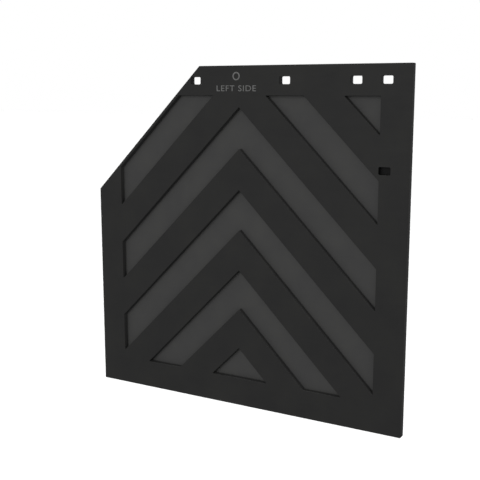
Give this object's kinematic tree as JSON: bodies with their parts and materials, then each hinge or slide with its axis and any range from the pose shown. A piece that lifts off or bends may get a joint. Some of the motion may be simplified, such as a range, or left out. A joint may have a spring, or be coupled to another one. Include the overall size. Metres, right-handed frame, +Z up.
{
  "type": "mud flap",
  "caption": "Moulded rubber truck mud flap with raised chevron ribs, a bolt-slotted top band and a cut corner; it flexes under the band and stops wheel spray.",
  "frame": {"origin": "on the plain back face, at mid width, on the row of bolt slots 25.4 mm under the top edge", "axes": "+Z up, -Y out of the ribbed face (rear of the vehicle), +X to the right as the ribbed face is seen"},
  "size_m": [0.6172, 0.0127, 0.6096],
  "materials": {
    "relief_rubber": "matt moulded",
    "web_rubber": "matt fine-grained"
  },
  "bodies": {
    "mounting_band": {"mounting_band": "relief_rubber", "upper_web": "web_rubber", "upper_chevron_left_leg": "relief_rubber", "upper_chevron_right_leg": "relief_rubber", "upper_corner_rib": "relief_rubber", "upper_corner_lip": "relief_rubber", "upper_right_border": "relief_rubber"},
    "hanging_panel": {"lower_web": "web_rubber", "left_border": "relief_rubber", "right_border": "relief_rubber", "bottom_border": "relief_rubber", "chevron_1_left_leg": "relief_rubber", "chevron_1_right_leg": "relief_rubber", "chevron_2_left_leg": "relief_rubber", "chevron_2_right_leg": "relief_rubber", "chevron_3_left_leg": "relief_rubber", "chevron_3_right_leg": "relief_rubber", "chevron_4_left_leg": "relief_rubber", "chevron_4_right_leg": "relief_rubber", "corner_rib": "relief_rubber", "corner_lip": "relief_rubber"}
  },
  "joints": [
    {"name": "flap_flex", "type": "hinge", "parent": "mounting_band", "child": "hanging_panel", "pos_m": [0, -0.00635, -0.0954], "axis": [1, 0, 0], "range_deg": [-60, 30], "stiffness_Nm_per_rad": 3}
  ]
}
